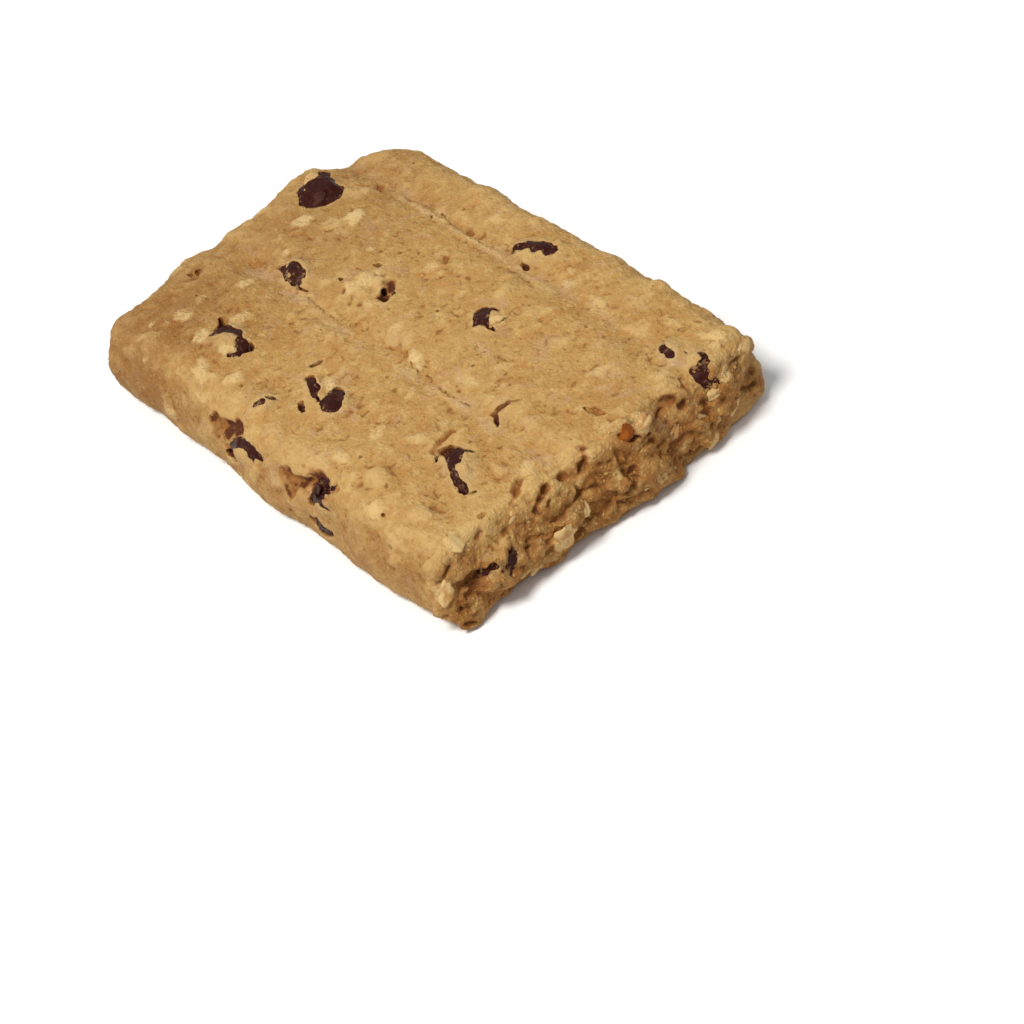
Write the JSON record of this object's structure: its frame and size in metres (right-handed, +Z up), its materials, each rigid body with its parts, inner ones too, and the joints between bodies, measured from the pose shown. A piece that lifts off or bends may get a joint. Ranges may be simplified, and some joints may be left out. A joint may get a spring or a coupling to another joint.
{
  "type": "breakfast biscuit",
  "caption": "Rectangular baked oat slab with three soft bands along its top, a rough crumbly end and chocolate chips set into its faces.",
  "frame": {"origin": "on the flat base, at the middle of the bounding box", "axes": "+X along the length towards the rough crumbly end, +Y across the width, +Z up from the base to the banded top"},
  "size_m": [0.0716, 0.048, 0.011],
  "materials": {
    "baked_dough": "dry, finely porous golden brown crumb",
    "dark_chocolate": "satin dark chocolate",
    "oat_flake": "pale dry oat flake",
    "toasted_nut": "toasted brown nut bit"
  },
  "bodies": {
    "root": {"dough": "baked_dough", "chip_top_01": "dark_chocolate", "chip_top_02": "dark_chocolate", "chip_top_03": "dark_chocolate", "chip_top_04": "dark_chocolate", "chip_top_05": "dark_chocolate", "chip_top_06": "dark_chocolate", "chip_top_07": "dark_chocolate", "chip_top_08": "dark_chocolate", "chip_top_09": "dark_chocolate", "chip_top_10": "dark_chocolate", "chip_top_11": "dark_chocolate", "chip_near_01": "dark_chocolate", "chip_near_02": "dark_chocolate", "chip_near_03": "dark_chocolate", "chip_end_01": "dark_chocolate", "chip_smooth_end_01": "dark_chocolate", "chip_smooth_end_02": "dark_chocolate", "chip_far_01": "dark_chocolate", "chip_far_02": "dark_chocolate", "chip_under_01": "dark_chocolate", "chip_under_02": "dark_chocolate", "chip_under_03": "dark_chocolate"}
  },
  "joints": []
}
